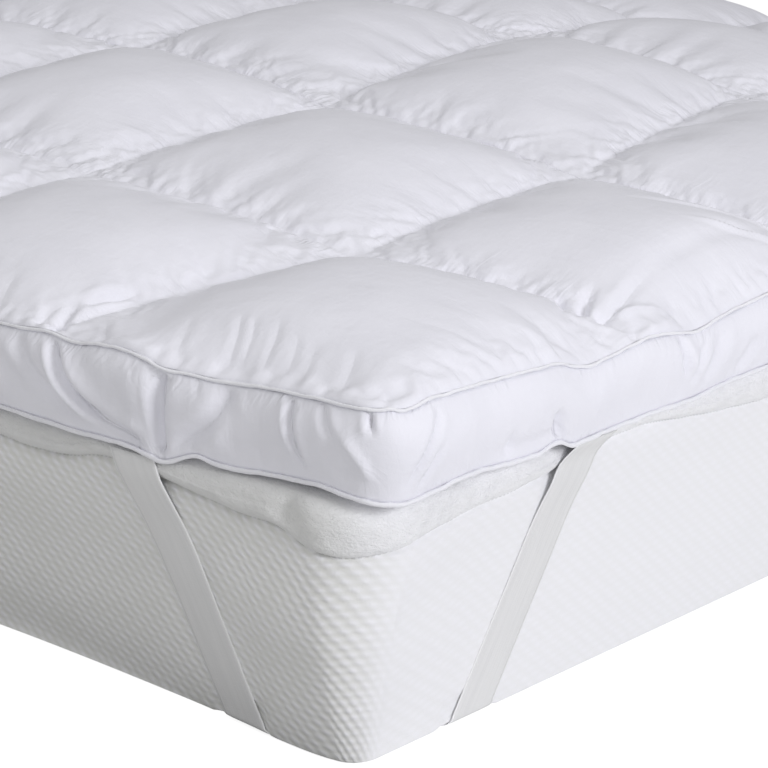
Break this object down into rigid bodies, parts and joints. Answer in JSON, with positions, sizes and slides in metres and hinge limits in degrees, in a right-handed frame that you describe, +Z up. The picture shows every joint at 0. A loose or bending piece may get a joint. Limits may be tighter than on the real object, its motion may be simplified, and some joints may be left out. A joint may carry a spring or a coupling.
{
  "type": "mattress topper on a mattress",
  "caption": "Thick box-quilted topper with a piped gusset and elastic corner straps that go down and under the plain mattress it lies on.",
  "frame": {"origin": "centre of the mattress's underside, on the surface that it rests on", "axes": "+X along the foot of the bed, +Y along its length, +Z up"},
  "size_m": [1.536, 2.0469, 0.38],
  "materials": {
    "down_proof_cotton": "closely woven white cotton with a faint cool sheen, puckered along its stitched channels",
    "piping_cotton": "cord covered in the same cotton, a little cooler and finely creased",
    "elastic_tape": "flat ribbed elastic, pale grey with lighter selvedges",
    "knitted_ticking": "off-white knitted cover with small raised dimples in slanting rows and a plush band under its top edge"
  },
  "bodies": {
    "root": {"topper": "down_proof_cotton", "piping_top": "piping_cotton", "piping_bottom": "piping_cotton", "strap_front_left": "elastic_tape", "strap_front_right": "elastic_tape", "strap_back_left": "elastic_tape", "strap_back_right": "elastic_tape", "mattress": "knitted_ticking"}
  },
  "joints": []
}
